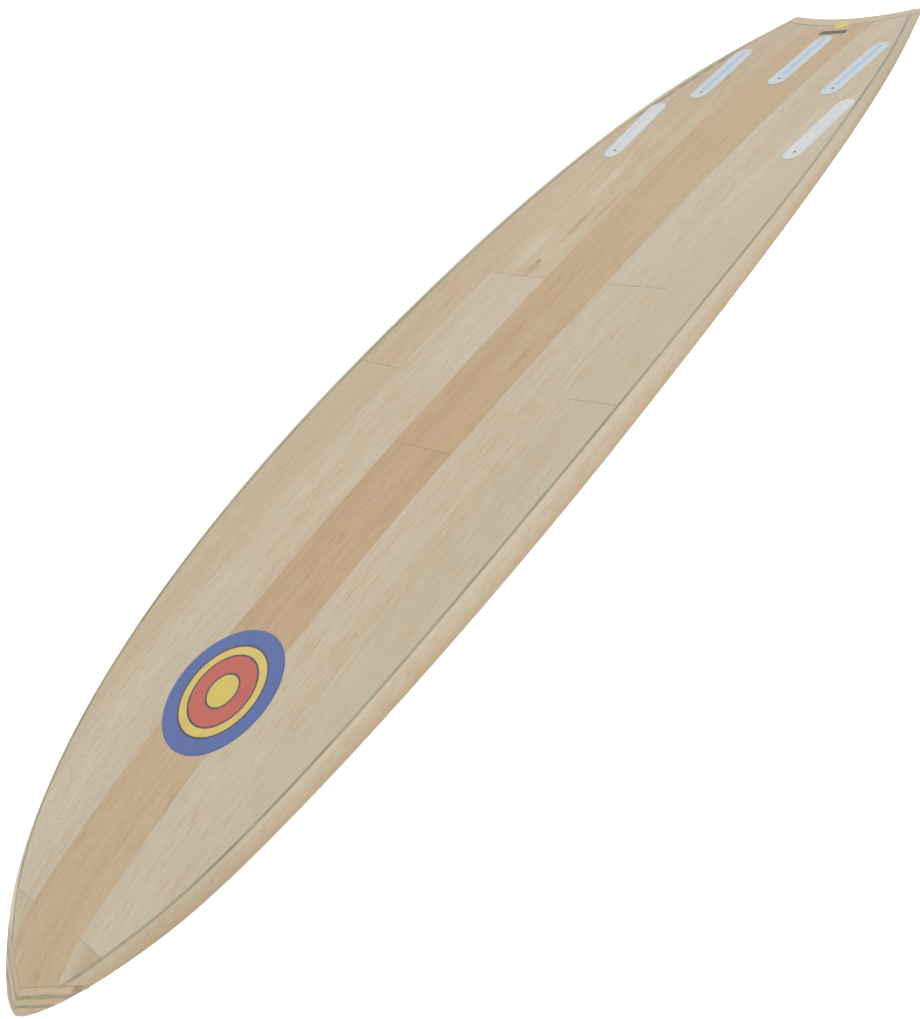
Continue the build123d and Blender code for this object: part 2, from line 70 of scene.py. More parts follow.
class Graph:
    """A material with one Principled shader, its textures placed by object coordinates."""

    def __init__(self, name):
        self.mat = bpy.data.materials.new(name)
        self.mat.use_nodes = True
        self.tree = self.mat.node_tree
        self.tree.nodes.clear()
        out = self.node("OutputMaterial")
        self.bsdf = self.node("BsdfPrincipled")
        self.link(self.bsdf.outputs[0], out.inputs[0])
        self.obj = self.node("TexCoord").outputs["Object"]
        self.position = None

    def node(self, kind):
        return self.tree.nodes.new("ShaderNode" + kind)

    def link(self, source, target):
        self.tree.links.new(source, target)

    def put(self, socket, value):
        if isinstance(value, bpy.types.NodeSocket):
            self.link(value, socket)
        else:
            socket.default_value = value

    def math(self, op, *values):
        n = self.node("Math")
        n.operation = op
        for socket, value in zip(n.inputs, values):
            self.put(socket, value)
        return n.outputs[0]

    def add(self, a, b):
        return self.math("ADD", a, b)

    def sub(self, a, b):
        return self.math("SUBTRACT", a, b)

    def mul(self, a, b):
        return self.math("MULTIPLY", a, b)

    def hypot(self, a, b):
        return self.math("SQRT", self.add(self.mul(a, a), self.mul(b, b)))

    def scaled(self, value, start, span):
        """start + value * span"""
        return self.add(start, self.mul(value, span))

    def wobble(self, noise, width):
        """A noise turned into an offset about zero."""
        return self.mul(self.sub(noise, 0.5), width)

    def vector_math(self, op, a, b, output="Vector"):
        n = self.node("VectorMath")
        n.operation = op
        self.put(n.inputs[0], a)
        self.put(n.inputs[1], b)
        return n.outputs[output]

    def mapping(self, scale=(1, 1, 1), rot=(0, 0, 0), loc=(0, 0, 0), vec=None):
        n = self.node("Mapping")
        n.inputs["Location"].default_value = loc
        n.inputs["Rotation"].default_value = rot
        n.inputs["Scale"].default_value = scale
        self.link(vec or self.obj, n.inputs["Vector"])
        return n.outputs[0]

    def noise(self, scale, detail=3.0, rough=0.5, distort=0.0, seed=0.0, vec=None):
        """Noise whose features per metre are scale (x, y, z)."""
        v = self.mapping(scale, loc=(seed * 3.17, seed * 1.71, seed * 5.13), vec=vec)
        n = self.node("TexNoise")
        n.inputs["Scale"].default_value = 1.0
        n.inputs["Detail"].default_value = detail
        n.inputs["Roughness"].default_value = rough
        n.inputs["Distortion"].default_value = distort
        self.link(v, n.inputs["Vector"])
        return n.outputs[0]

    def ramp(self, value, lo, hi):
        """Smooth step from 0 at lo to 1 at hi."""
        n = self.node("MapRange")
        n.interpolation_type = "SMOOTHSTEP"
        n.clamp = True
        for socket, setting in zip(n.inputs, (value, lo, hi, 0.0, 1.0)):
            self.put(socket, setting)
        return n.outputs[0]

    def fall(self, value, lo, hi):
        """Smooth step from 1 at lo to 0 at hi."""
        return self.sub(1.0, self.ramp(value, lo, hi))

    def near(self, value, centre, half, soft):
        """1 where value is within half of centre, falling to 0 over soft."""
        return self.fall(self.math("ABSOLUTE", self.sub(value, centre)), half, half + soft)

    def mix(self, fac, a, b, mode="MIX"):
        n = self.node("Mix")
        n.data_type = "RGBA"
        n.blend_type = mode
        n.clamp_factor = True
        self.put(n.inputs[0], fac)
        self.put(n.inputs[6], a)
        self.put(n.inputs[7], b)
        return n.outputs[2]

    def tint(self, col, over, value, lo, hi, amount, within=None):
        """Lays the colour over on col where value passes from lo to hi, inside the mask within."""
        cover = self.ramp(value, lo, hi)
        if within is not None:
            cover = self.mul(cover, within)
        return self.mix(self.mul(cover, amount), col, over)

    def axis(self, name):
        if self.position is None:
            self.position = self.node("SeparateXYZ")
            self.link(self.obj, self.position.inputs[0])
        return self.position.outputs[name]

    def bump(self, height, strength, distance):
        n = self.node("Bump")
        n.inputs["Strength"].default_value = strength
        n.inputs["Distance"].default_value = distance
        self.link(height, n.inputs["Height"])
        self.link(n.outputs[0], self.bsdf.inputs["Normal"])

    def finish(self, colour, rough, coat=0.0, coat_rough=0.2, metallic=0.0, spec=0.5):
        self.put(self.bsdf.inputs["Base Color"], colour)
        self.put(self.bsdf.inputs["Roughness"], rough)
        self.bsdf.inputs["Metallic"].default_value = metallic
        self.bsdf.inputs["Specular IOR Level"].default_value = spec
        self.bsdf.inputs["Coat Weight"].default_value = coat
        self.bsdf.inputs["Coat Roughness"].default_value = coat_rough
        return self.mat


def assign(node, mat):
    slots = NODES[node].data.materials
    if not slots:
        slots.append(mat)
    for i in range(len(slots)):
        slots[i] = mat


# ---------------------------------------------------------------- wood material
# name: features per metre (across, along, up), detail, roughness, distortion, seed offset
GRAIN = {
    "wander": ((2.2, 1.1, 2.2), 1.0, 0.5, 0.0, 9),
    "wiggle": ((14, 9, 14), 2.0, 0.5, 0.0, 12),
    "broad": ((15, 0.9, 6), 2.0, 0.5, 0.2, 0),
    "band": ((60, 4.5, 20), 4.0, 0.6, 0.6, 1),
    "medium": ((230, 22, 60), 3.0, 0.62, 0.4, 2),
    "dash": ((360, 34, 90), 2.0, 0.55, 0.3, 3),
    "pale": ((260, 30, 90), 3.0, 0.62, 0.5, 5),
    "fine": ((1300, 60, 300), 3.0, 0.6, 0.0, 4),
    "patch": ((26, 5, 10), 3.0, 0.6, 0.3, 8),
    "ripple": ((120, 420, 120), 2.0, 0.5, 0.5, 14),
    "ripple_area": ((14, 1.6, 8), 2.0, 0.5, 0.0, 15),
    "figure": ((170, 120, 120), 3.0, 0.65, 1.2, 31),
    "pale_mottle": ((120, 40, 120), 3.0, 0.6, 0.8, 6),
    "dark_mottle": ((150, 75, 150), 2.0, 0.6, 1.2, 26),
    "joint_wobble": ((60, 260, 10), 2.0, 0.5, 0.0, 7),
    "joint_fade": ((45, 10, 45), 2.0, 0.5, 0.0, 17),
    "spot_wobble": ((260, 120, 260), 2.0, 0.5, 0.0, 21),
}
JOINT_BROWN = lin(140, 114, 82)
# painted highlight for the rails' upper shoulder and painted shade where they turn under
SHOULDER_PAINTED_HIGHLIGHT = lin(232, 220, 200)
UNDERSIDE_PAINTED_SHADE = lin(206, 172, 128)
ACROSS = -math.pi / 2   # grain angle of boards laid across the board's length


def tone_along(g, col, stops):
    """Multiplies the colour by a tone that changes slowly along Y; stops are (y, r, g, b) gains."""
    gain = (*stops[0][1:], 1.0)
    for (y1, *_), (y2, *next_gain) in zip(stops, stops[1:]):
        gain = g.mix(g.ramp(g.axis("Y"), y1, y2), gain, (*next_gain, 1.0))
    return g.mix(1.0, col, gain, "MULTIPLY")


def wood(name, timber, seed, angle=0.0, joints=(), bands=0.6, streaks=0.5, mottle_and_shade=0.0,
         ripple=0.0, tones=None, spots=(), extra=None):
    """Straight-grained light wood under a clear coat.

    The grain runs along Y turned by angle about Z.  joints are (y, half width) of glued butt
    joints; tones and spots are rows as in TONES and in the spot lists; bands, streaks, mottle
    and ripple are strengths, and a mottle above zero also turns on a painted highlight along
    the upper shoulder and painted shade where the surface turns under; extra(g, col) adds
    marks of a piece's own.
    """
    g = Graph(name)

    def grain(kind, vec=None):
        scale, detail, rough, distort, offset = GRAIN[kind]
        return g.noise(scale, detail, rough, distort, seed + offset, vec)

    # the grain's sideways drift, slow and quick
    turned = g.mapping(rot=(0, 0, -angle))
    drift = g.node("CombineXYZ")
    g.put(drift.inputs[0], g.add(g.wobble(grain("wander", turned), width=0.022),
                                 g.wobble(grain("wiggle", turned), width=0.0035)))
    v = g.vector_math("ADD", turned, drift.outputs[0])

    medium = grain("medium", v)
    fine = grain("fine", v)
    figure = grain("figure", turned)
    patchy = g.scaled(g.ramp(grain("patch", v), lo=0.38, hi=0.60), start=0.35, span=0.65)
    base, dark, streak, light = timber.base, timber.dark, timber.streak, timber.light

    col = g.tint(base, dark, grain("broad", v), lo=0.38, hi=0.62, amount=bands)
    col = g.tint(col, light, grain("band", v), lo=0.48, hi=0.64, amount=0.45 * bands + 0.1)
    col = g.tint(col, streak, medium, lo=0.48, hi=0.70, amount=streaks * 0.95, within=patchy)
    col = g.tint(col, light, grain("pale", v), lo=0.50, hi=0.68, amount=0.40)
    col = g.tint(col, streak, grain("dash", v), lo=0.54, hi=0.72, amount=streaks * 1.05,
                 within=patchy)
    if ripple:
        area_mask = g.ramp(grain("ripple_area", turned), lo=0.50, hi=0.62)
        col = g.tint(col, light, grain("ripple", turned), lo=0.42, hi=0.60, amount=ripple,
                     within=area_mask)
    col = g.tint(col, light, figure, lo=0.45, hi=0.68, amount=0.16)
    col = g.tint(col, dark, figure, lo=0.52, hi=0.32, amount=0.10)
    if mottle_and_shade:
        col = g.tint(col, light, grain("pale_mottle"), lo=0.46, hi=0.64, amount=mottle_and_shade)
        col = g.tint(col, streak, grain("dark_mottle"), lo=0.52, hi=0.68, amount=mottle_and_shade * 0.7)
        # painted highlight, paler, along the upper shoulder and painted shade, browner, where the
        # surface turns under, both set by the surface's normal
        normal = g.node("SeparateXYZ")
        g.link(g.node("NewGeometry").outputs["Normal"], normal.inputs[0])
        upward = normal.outputs[2]
        col = g.tint(col, SHOULDER_PAINTED_HIGHLIGHT, upward, lo=0.72, hi=0.99, amount=0.26)
        col = g.tint(col, UNDERSIDE_PAINTED_SHADE, upward, lo=0.50, hi=0.0, amount=0.42)

    # fine fibres lighten and darken everything a little
    tone = g.scaled(fine, start=0.945, span=0.11)
    grey = g.node("CombineColor")
    for i in range(3):
        g.put(grey.inputs[i], tone)
    col = g.mix(1.0, col, grey.outputs[0], "MULTIPLY")

    for y, half in joints:
        wobble = g.wobble(grain("joint_wobble"), width=0.0016)
        line = g.near(g.add(g.axis("Y"), wobble), y, half, soft=0.0006)
        fade = g.scaled(g.ramp(grain("joint_fade"), lo=0.35, hi=0.6), start=0.25, span=0.40)
        col = g.mix(g.mul(line, fade), col, JOINT_BROWN)
    if tones:
        col = tone_along(g, col, tones)
    for x, station, half_x, half_y, colour, strength in spots:
        across = g.math("DIVIDE", g.sub(g.axis("X"), x), half_x)
        along = g.math("DIVIDE", g.sub(g.axis("Y"), from_nose(station)), half_y)
        away = g.add(g.hypot(across, along), g.wobble(grain("spot_wobble"), width=0.9))
        col = g.mix(g.mul(g.fall(away, lo=0.25, hi=1.0), strength), col, lin(*colour))
    if extra:
        col = extra(g, col)
    g.bump(medium, strength=0.10, distance=0.0004)
    return g.finish(col, g.scaled(fine, start=0.46, span=0.12), coat=0.35, coat_rough=0.24,
                    spec=0.35)


# ---------------------------------------------------------------- other materials
def glue(name, seed):
    g = Graph(name)
    cloud = g.noise((30, 6, 30), detail=3.0, rough=0.6, distort=0.3, seed=seed)
    grain = g.noise((700, 500, 700), detail=2.0, rough=0.6, seed=seed + 1)
    col = g.mix(g.ramp(cloud, lo=0.38, hi=0.66), lin(146, 142, 116), lin(126, 122, 98))
    col = g.tint(col, lin(162, 158, 133), grain, lo=0.5, hi=0.8, amount=0.35)
    g.bump(grain, strength=0.06, distance=0.0003)
    return g.finish(col, rough=0.42, coat=0.35, coat_rough=0.22, spec=0.4)


def plastic(name, base, tint, seed, extra=None):
    """Moulded plastic with faint flow marks and a fine surface grain."""
    g = Graph(name)
    flow = g.noise((60, 14, 60), detail=3.0, rough=0.55, distort=0.6, seed=seed)
    grain = g.noise((1600, 1600, 1600), detail=2.0, rough=0.6, seed=seed + 1)
    col = g.mix(g.ramp(flow, lo=0.35, hi=0.7), lin(*base), lin(*tint))
    if extra:
        col = extra(g, col)
    g.bump(grain, strength=0.10, distance=0.0002)
    return g.finish(col, g.scaled(grain, start=0.36, span=0.12), coat=0.25, coat_rough=0.2,
                    spec=0.45)


# The capsule-shaped face of a fin box, about its mount point
FACE_BACK = 0.00235       # capsule's middle, behind the mount along the slot
FACE_ASIDE = 0.0095       # capsule's middle, beside the mount
FACE_STRAIGHT = 0.05985   # half length of the straight sides
RIM = dict(lo=0.0132, hi=0.0144)       # distance from the capsule's spine
# depth over which the slot's inside takes on its painted light, as height below the face
SLOT_GLOW_DEPTH = dict(lo=-0.0012, hi=-0.0003)    # height below the face


def fin_slot(mount, toe, inner, specks, seed):
    """Specks around the rim of a fin box's face, and painted light in the slot: its inside is
    coloured pale and glows faintly, in place of the shade inside it.
    """
    normal = Vector(mount["axis"])
    along = Vector((math.sin(toe), math.cos(toe), 0))
    along = (along - normal * along.dot(normal)).normalized()

    def extra(g, col):
        cloud = g.noise((260, 180, 260), detail=3.0, rough=0.6, distort=0.4, seed=seed + 2)
        offset = g.vector_math("SUBTRACT", g.obj, mount["pos_m"])
        height, u, w = (g.vector_math("DOT_PRODUCT", offset, direction, "Value")
                        for direction in (normal, along, normal.cross(along)))
        beyond = g.sub(g.math("ABSOLUTE", g.add(u, FACE_BACK)), FACE_STRAIGHT)
        beyond = g.math("MAXIMUM", beyond, 0.0)
        rim = g.ramp(g.hypot(beyond, g.add(w, FACE_ASIDE)), **RIM)
        speckle = g.mul(g.ramp(cloud, lo=0.44, hi=0.56), 0.8)
        col = g.mix(g.mul(rim, speckle), col, lin(*specks))
        # painted light: below the face the slot's inside is coloured paler than the box and glows,
        # so it does not fall into shade
        slot_glow = g.fall(height, **SLOT_GLOW_DEPTH)
        g.put(g.bsdf.inputs["Emission Color"], lin(*inner))
        g.put(g.bsdf.inputs["Emission Strength"], g.mul(slot_glow, 0.30))
        return g.mix(slot_glow, col, lin(*inner))
    return extra


def foam(name):
    """Beads with painted shade, soft and dark, in the creases along their edges."""
    g = Graph(name)
    cells = g.node("TexVoronoi")
    cells.feature = "DISTANCE_TO_EDGE"
    cells.inputs["Scale"].default_value = 320.0
    g.link(g.obj, cells.inputs["Vector"])
    edge = g.ramp(cells.outputs["Distance"], lo=0.0, hi=0.12)
    grain = g.noise((900, 900, 900), detail=2.0, rough=0.6)
    # painted shade darkens each bead towards the creases between beads
    col = g.mix(edge, lin(206, 206, 202), lin(240, 240, 236))
    col = g.tint(col, lin(224, 224, 220), grain, lo=0.5, hi=0.8, amount=0.3)
    g.bump(edge, strength=0.4, distance=0.0006)
    return g.finish(col, rough=0.85, spec=0.2)


def steel(name, seed):
    g = Graph(name)
    brushed = g.noise((900, 900, 60), detail=3.0, rough=0.6, seed=seed)
    cloud = g.noise((120, 120, 120), detail=2.0, rough=0.6, seed=seed + 1)
    col = g.mix(g.ramp(brushed, lo=0.3, hi=0.8), lin(150, 152, 156), lin(196, 198, 201))
    col = g.tint(col, lin(120, 122, 126), cloud, lo=0.5, hi=0.8, amount=0.4)
    g.bump(brushed, strength=0.12, distance=0.0002)
    return g.finish(col, g.scaled(cloud, start=0.28, span=0.2), metallic=1.0)


# ---------------------------------------------------------------- timbers
def timber(**colours):
    return SimpleNamespace(**{part: lin(*colour) for part, colour in colours.items()})


PALE = timber(base=(189, 174, 149), dark=(181, 165, 138), streak=(182, 147, 108),
              light=(199, 188, 166))
TAN = timber(base=(183, 158, 127), dark=(172, 144, 112), streak=(158, 123, 87),
             light=(190, 167, 138))
RAIL = timber(base=(196, 179, 154), dark=(187, 167, 139), streak=(194, 160, 124),
              light=(206, 192, 170))
DULL = timber(base=(178, 161, 133), dark=(170, 151, 122), streak=(170, 139, 104),
              light=(188, 174, 149))
GREENISH = timber(base=(183, 170, 145), dark=(178, 164, 137), streak=(180, 148, 112),
                  light=(192, 181, 158))
PINKISH = timber(base=(187, 170, 145), dark=(178, 158, 130), streak=(180, 145, 108),
                 light=(196, 183, 160))
NOSE = timber(base=(180, 162, 133), dark=(168, 147, 117), streak=(162, 130, 96),
              light=(190, 174, 147))

# slow change of tone along each piece: (y, gain in r, g, b)
TONES = {
    "centre_fore": [(-0.842, 0.947, 0.98, 0.983), (-0.726, 0.96, 0.97, 0.951),
                    (-0.201, 0.908, 0.887, 0.805)],
    "centre_aft": [(-0.025, 0.914, 0.891, 0.807), (0.158, 0.949, 0.93, 0.858),
                   (0.358, 0.973, 0.961, 0.905), (0.588, 0.96, 0.945, 0.882)],
    "inner_left_mid": [(-0.755, 0.902, 0.92, 0.929), (-0.165, 0.962, 0.953, 0.956),
                       (0.114, 0.967, 0.985, 1.012)],
    "inner_left_aft": [(0.293, 0.954, 0.929, 0.905), (0.533, 0.924, 0.884, 0.836),
                       (0.813, 0.859, 0.809, 0.736)],
    "inner_right_mid": [(-0.755, 0.904, 0.924, 0.944), (-0.165, 0.934, 0.928, 0.927),
                        (0.114, 0.945, 0.959, 0.973)],
    "inner_right_aft": [(0.293, 0.939, 0.965, 0.984), (0.533, 0.96, 0.961, 0.958),
                        (0.813, 0.922, 0.922, 0.902)],
    "outer_left_fore": [(-0.557, 0.921, 0.926, 0.914), (-0.107, 0.915, 0.888, 0.849)],
    "outer_left_aft": [(0.112, 0.911, 0.869, 0.817), (0.403, 0.927, 0.896, 0.853)],
    "outer_right_fore": [(-0.557, 0.966, 0.96, 0.976), (-0.107, 0.955, 0.956, 0.966)],
    "outer_right_aft": [(0.112, 0.978, 0.97, 0.972), (0.403, 1, 1, 1.02)],
    "inner_left_nose": [(-0.859, 0.856, 0.86, 0.834)],
    "inner_right_nose": [(-0.859, 0.87, 0.845, 0.82)],
    "rail_right": [(-0.777, 0.713, 0.699, 0.653), (-0.517, 0.795, 0.792, 0.769),
                   (-0.142, 0.812, 0.817, 0.813), (0.508, 0.802, 0.793, 0.76),
                   (0.768, 0.696, 0.688, 0.633)],
    "rail_left": [(-0.777, 0.92, 0.92, 0.95), (-0.517, 0.89, 0.87, 0.87),
                  (-0.142, 0.76, 0.75, 0.71), (0.208, 0.72, 0.71, 0.65),
                  (0.508, 0.83, 0.81, 0.77), (0.768, 0.9, 0.87, 0.84)],
}

# ---------------------------------------------------------------- bottom planks
JOINT_HALF = 0.0003   # half width of the glue showing at a butt joint
CENTRE_JOINT = (from_nose(0.8316), JOINT_HALF)
OUTER_JOINT = (from_nose(0.9536), JOINT_HALF)
NOSE_JOINT = (from_nose(0.1090), JOINT_HALF)
NOSE_JOINT_THIN = (NOSE_JOINT[0], JOINT_HALF / 2)
INNER_JOINT = (from_nose(1.1668), JOINT_HALF)

# spots: x, station from the nose, half width, half length, colour, strength
CENTRE_AFT_SPOTS = [(0.030, 1.010, 0.010, 0.045, (150, 118, 84), 0.35)]
INNER_LEFT_AFT_SPOTS = [
    (-0.101, 1.200, 0.0045, 0.007, (140, 104, 66), 0.9),
    (-0.100, 1.186, 0.014, 0.024, (160, 130, 94), 0.6),
    (-0.094, 1.290, 0.008, 0.060, (162, 130, 94), 0.6),
    (-0.072, 1.330, 0.006, 0.055, (162, 130, 94), 0.5),
    (-0.135, 1.225, 0.018, 0.070, (204, 194, 172), 0.4),
    (-0.120, 1.400, 0.012, 0.080, (204, 194, 172), 0.4),
    (-0.103, 1.678, 0.0035, 0.011, (112, 92, 66), 0.8),
]
OUTER_LEFT_AFT_SPOTS = [(-0.214, 1.120, 0.018, 0.030, (182, 148, 118), 0.4)]


def seep(g, col):
    """Thin dashed run of glue beside the left rail, ahead of the tail."""
    x, station, slope = -0.182, 1.622, 0.262   # a point on the run, and its x per y
    aside = g.add(g.add(g.axis("X"), -x), g.mul(g.sub(g.axis("Y"), from_nose(station)), -slope))
    line = g.near(aside, 0.0, half=0.0010, soft=0.0024)
    line = g.mul(line, g.near(g.axis("Y"), from_nose(1.655), half=0.080, soft=0.030))
    dashes = g.noise((120, 70, 120), detail=2.0, rough=0.6, seed=83)
    line = g.mul(line, g.ramp(dashes, lo=0.36, hi=0.56))
    return g.mix(line, col, lin(98, 102, 74))


def half_white(g, col):
    """Whitish sapwood towards the middle of the board."""
    wobble = g.wobble(g.noise((90, 20, 90), detail=2.0, seed=79), width=0.006)
    inward = g.fall(g.add(g.axis("X"), wobble), lo=0.052, hi=0.090)
    return g.mix(g.mul(inward, 0.4), col, lin(206, 198, 178))


def plank(name, timber, seed, **kw):
    assign("bottom_plank_" + name, wood("wood_" + name, timber, seed, tones=TONES[name], **kw))


plank("centre_fore", TAN, seed=1, joints=[CENTRE_JOINT], streaks=0.45)
plank("centre_aft", TAN, seed=2, joints=[CENTRE_JOINT], streaks=0.4, spots=CENTRE_AFT_SPOTS)
plank("inner_left_nose", PALE, seed=3, joints=[NOSE_JOINT])
plank("inner_left_mid", PALE, seed=4, joints=[NOSE_JOINT, INNER_JOINT], ripple=0.35, streaks=0.6)
plank("inner_left_aft", PALE, seed=5, joints=[INNER_JOINT], streaks=0.7,
      spots=INNER_LEFT_AFT_SPOTS, extra=seep)
plank("inner_right_mid", PALE, seed=7, joints=[NOSE_JOINT_THIN, INNER_JOINT], ripple=0.3,
      streaks=0.65)
plank("inner_right_aft", PALE, seed=8, joints=[INNER_JOINT], ripple=0.25, streaks=0.6)
plank("outer_left_fore", PINKISH, seed=9, joints=[OUTER_JOINT], ripple=0.2)
plank("outer_left_aft", PINKISH, seed=10, joints=[OUTER_JOINT], ripple=0.35,
      spots=OUTER_LEFT_AFT_SPOTS, extra=seep)
plank("outer_right_fore", GREENISH, seed=11, joints=[OUTER_JOINT], bands=0.4)
plank("outer_right_aft", GREENISH, seed=12, joints=[OUTER_JOINT], bands=0.4)
plank("inner_right_nose", DULL, seed=6, extra=half_white)

# ---------------------------------------------------------------- deck planks and rails
for i, place in enumerate(("outer_left", "inner_left", "centre", "inner_right", "outer_right")):
    name = "deck_plank_" + place
    assign(name, wood("wood_" + name, TAN if place == "centre" else PALE, seed=20 + i))
# the rails' mottle also turns on their painted highlight and painted shade
for i, name in enumerate(("rail_left", "rail_right")):
    assign(name, wood("wood_" + name, RAIL, seed=30 + i, bands=0.4, streaks=0.35, mottle_and_shade=0.45,
                      tones=TONES[name]))

# ---------------------------------------------------------------- nose and tail pieces
MITRE_SLOPE = 0.485   # how far a nose strip runs aft for each metre outwards
STRIP_ANGLE = math.pi / 2 - math.atan(MITRE_SLOPE)


def mitred(aft, patch):
    """Thin brown aft edge and mitre line of a nose strip whose aft edge meets the middle at aft.

    patch is (x, half width, strength, colour) of a darker end, or None."""
    def extra(g, col):
        out = g.math("ABSOLUTE", g.axis("X"))
        inset = g.sub(g.add(from_nose(aft), g.mul(out, MITRE_SLOPE)), g.axis("Y"))
        wobble = g.wobble(g.noise((160, 90, 10), detail=2.0, seed=77), width=0.0012)
        edge = g.fall(g.add(inset, wobble), lo=0.0006, hi=0.0016)
        col = g.mix(g.mul(edge, 0.55), col, lin(148, 118, 84))
        mitre = g.fall(out, lo=0.0003, hi=0.0010)
        col = g.mix(g.mul(mitre, 0.45), col, lin(140, 112, 80))
        if patch:
            x, half, strength, colour = patch
            spot = g.near(g.add(g.axis("X"), g.mul(wobble, 6.0)), x, half, soft=0.007)
            cloud = g.noise((60, 160, 60), detail=2.0, seed=78)
            spot = g.mul(spot, g.ramp(cloud, lo=0.15, hi=0.50))
            col = g.mix(g.mul(spot, strength), col, lin(*colour))
        return col
    return extra


# row: timber, streak strength, station of the aft edge at the middle
STRIP_ROWS = {"inner": (NOSE, 0.6, 0.0294), "outer": (DULL, 0.5, 0.0172)}
# row, side, grain angle, darker end
STRIPS = (
    ("inner", "right", -STRIP_ANGLE, (0.088, 0.003, 0.75, (140, 112, 74))),
    ("inner", "left", STRIP_ANGLE, None),
    ("outer", "right", -STRIP_ANGLE, (0.060, 0.010, 0.45, (188, 150, 110))),
    ("outer", "left", STRIP_ANGLE, None),
)
for i, (row, side, angle, patch) in enumerate(STRIPS):
    strip_timber, streaks, aft = STRIP_ROWS[row]
    assign(f"nose_strip_{row}_{side}",
           wood(f"wood_nose_{row[0]}{side[0]}", strip_timber, seed=40 + i, angle=angle,
                streaks=streaks, extra=mitred(aft, patch)))
assign("nose_tip_block", wood("wood_nose_tip", DULL, seed=44, angle=ACROSS))
assign("tail_strip", wood("wood_tail", PINKISH, seed=45, angle=ACROSS, streaks=0.4))

# ---------------------------------------------------------------- glue, foam and fittings
for i, name in enumerate(("rail_glue_line_left", "rail_glue_line_right", "tail_glue_line",
                          "nose_glue_line_inner", "nose_glue_line_outer")):
    assign(name, glue("epoxy_" + name, seed=50 + i))
assign("foam_core", foam("bead_foam"))

# each slot's inner colour is painted light, paler than its box and glowing, in place of the shade
# inside the slot
WHITE_BOX = dict(base=(198, 200, 199), tint=(191, 194, 194))
WHITE_SLOT = dict(inner=(205, 207, 208), specks=(150, 178, 196))
BLUISH_BOX = dict(base=(183, 195, 203), tint=(176, 189, 199))
BLUISH_SLOT = dict(inner=(186, 196, 206), specks=(190, 186, 172))
# the slots' turn from +Y towards +X, in radians
FIN_TOES = {"front_left": -0.048, "front_right": 0.048, "rear_left": -0.030,
            "rear_right": 0.030, "centre": 0.0}

mounts = {m["name"]: m for m in frame["record"]["mounts"]}
for place, toe in FIN_TOES.items():
    white = place.startswith("front")
    box, slot = (WHITE_BOX, WHITE_SLOT) if white else (BLUISH_BOX, BLUISH_SLOT)
    seed = 60 + len(place)
    marks = fin_slot(mounts["fin_face_" + place], toe, seed=seed, **slot)
    assign("fin_box_" + place, plastic("plastic_" + place, seed=seed, extra=marks, **box))
    assign("fin_screw_" + place, steel("steel_" + place, seed=seed + 10))
assign("leash_plug_cup", plastic("plastic_leash_cup", base=(214, 216, 216),
                                 tint=(200, 203, 204), seed=80))
assign("leash_plug_bar", steel("steel_leash_bar", seed=81))


# ---------------------------------------------------------------- printed marks on the bottom
def surface(names):
    """Tree over some CAD pieces, in the frame's coordinates."""
    verts, polys = [], []
    for name in names:
        o = NODES[name]
        start = len(verts)
        verts += [o.matrix_world @ v.co for v in o.data.vertices]
        polys += [[start + i for i in p.vertices] for p in o.data.polygons]
    return BVHTree.FromPolygons(verts, polys, epsilon=0.0)


SKIN = surface([name for name in NODES if name.startswith("bottom_plank")]
               + ["tail_strip", "tail_glue_line"])
STEP = 0.0004           # sideways look that bridges a joint between planks
FILM_LIFT = 0.00004     # gap between the skin and a printed film


def on_skin(x, y):
    """Height of the bottom skin."""
    for dx, dy in ((0, 0), (STEP, 0), (-STEP, 0), (0, STEP), (0, -STEP), (STEP, STEP)):
        point, normal, _, _ = SKIN.ray_cast(Vector((x + dx, y + dy, 1.0)), Vector((0, 0, -1)))
        if point is not None and normal.z > 0.5:
            return point.z
    raise RuntimeError("no skin under %.4f %.4f" % (x, y))


def sticker(name, rings, thick, mat):
    """A thin printed film on the skin: rings of (x, y) points, from the middle outwards."""
    bm = bmesh.new()
    top = [[bm.verts.new((x, y, on_skin(x, y) + FILM_LIFT + thick)) for x, y in ring]
           for ring in rings]
    rim = top[-1]
    low = [bm.verts.new((v.co.x, v.co.y, v.co.z - thick)) for v in rim]
    for a, b in zip(top, top[1:]):
        for i in range(len(b)):
            j = (i + 1) % len(b)
            if len(a) == 1:
                bm.faces.new((a[0], b[i], b[j]))
            else:
                bm.faces.new((a[i], b[i], b[j], a[j]))
    for i in range(len(low)):
        j = (i + 1) % len(low)
        bm.faces.new((rim[i], low[i], low[j], rim[j]))
    bmesh.ops.recalc_face_normals(bm, faces=bm.faces)
    me = bpy.data.meshes.new(name)
    bm.to_mesh(me)
    bm.free()
    for p in me.polygons:
        p.use_smooth = True
    o = bpy.data.objects.new(name, me)
    scene.collection.objects.link(o)
    me.materials.append(mat)
    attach(o, "board")


def disc(cx, cy, radius, n_ring=24, n=96):
    rings = [[(cx, cy)]]
    for k in range(1, n_ring + 1):
        r = radius * (k / n_ring)
        rings.append([(cx + r * math.cos(2 * math.pi * i / n),
                       cy + r * math.sin(2 * math.pi * i / n)) for i in range(n)])
    return rings


def outline(points, n_ring=4, per_side=8):
    """Rings for a convex outline, each side divided."""
    cx = sum(p[0] for p in points) / len(points)
    cy = sum(p[1] for p in points) / len(points)
    rim = []
    for a, b in zip(points, points[1:] + points[:1]):
        rim += [(a[0] + (b[0] - a[0]) * i / per_side, a[1] + (b[1] - a[1]) * i / per_side)
                for i in range(per_side)]
    return [[(cx, cy)]] + [[(cx + (x - cx) * k / n_ring, cy + (y - cy) * k / n_ring)
                            for x, y in rim] for k in range(1, n_ring + 1)]


INK_COAT = dict(rough=0.5, coat=0.35, coat_rough=0.24, spec=0.35)
BADGE_MIDDLE = (196, 176, 84)
# where each ring of ink starts, as a share of the radius, and its colour
BADGE_RINGS = ((0.26, (62, 58, 72)), (0.29, (178, 84, 72)), (0.56, (62, 58, 72)),
               (0.59, (198, 176, 92)), (0.72, (62, 58, 72)), (0.75, (72, 92, 150)))
RING_SOFT = 0.006


